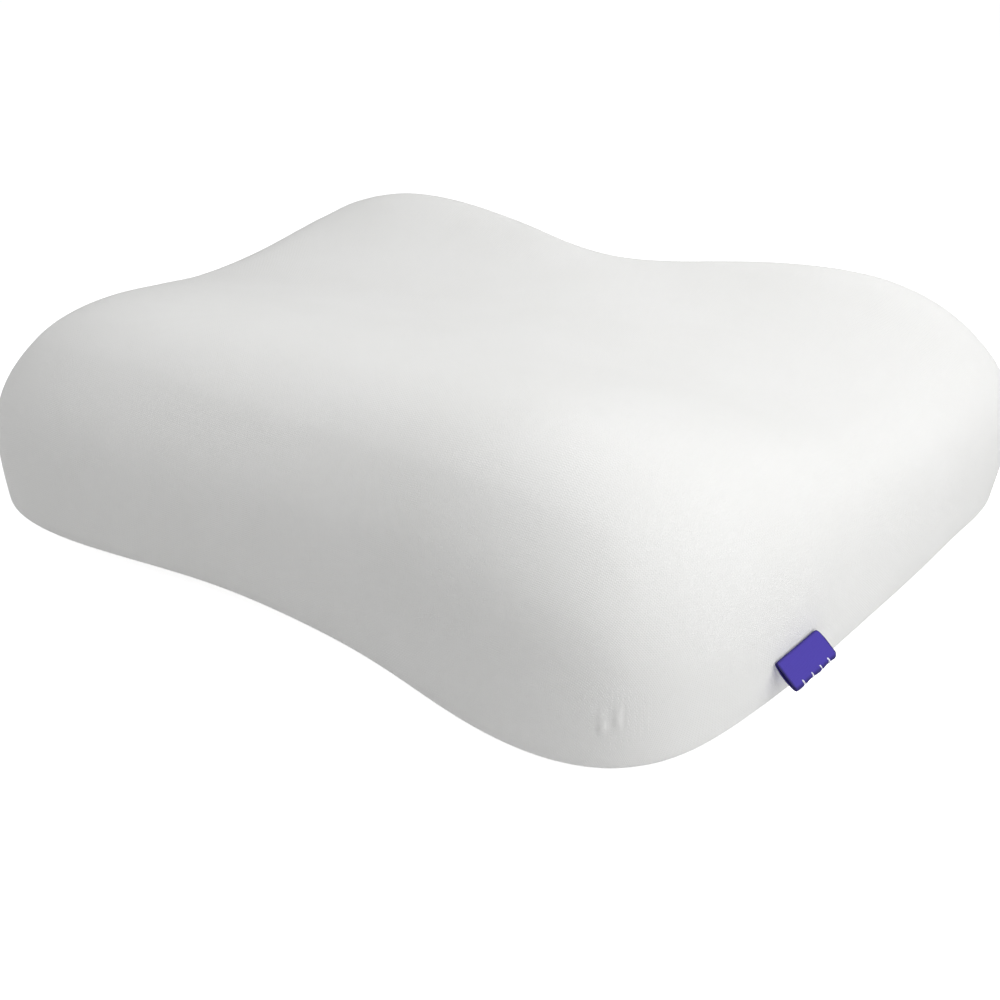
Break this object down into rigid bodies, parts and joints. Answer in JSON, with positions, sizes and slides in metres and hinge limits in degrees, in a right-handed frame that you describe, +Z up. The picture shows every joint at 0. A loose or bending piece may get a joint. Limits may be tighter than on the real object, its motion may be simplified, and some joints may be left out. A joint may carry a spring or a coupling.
{
  "type": "cervical pillow",
  "caption": "Contoured foam neck pillow in a smooth white knit cover, with raised lobes, drawn-in long sides, a low head hollow and a blank folded side label.",
  "frame": {"origin": "on the surface it rests on, under the middle of the part's bounding box", "axes": "+X along the width, towards the labelled end; +Y from the neck side at the front to the back; +Z up, out of the resting face"},
  "size_m": [0.6022, 0.43, 0.1412],
  "materials": {
    "knit_cover": "smooth white stretch knit, matt",
    "label_tape": "violet woven tape with white thread"
  },
  "bodies": {
    "root": {"pillow_body": "knit_cover", "side_label": "label_tape"}
  },
  "joints": []
}
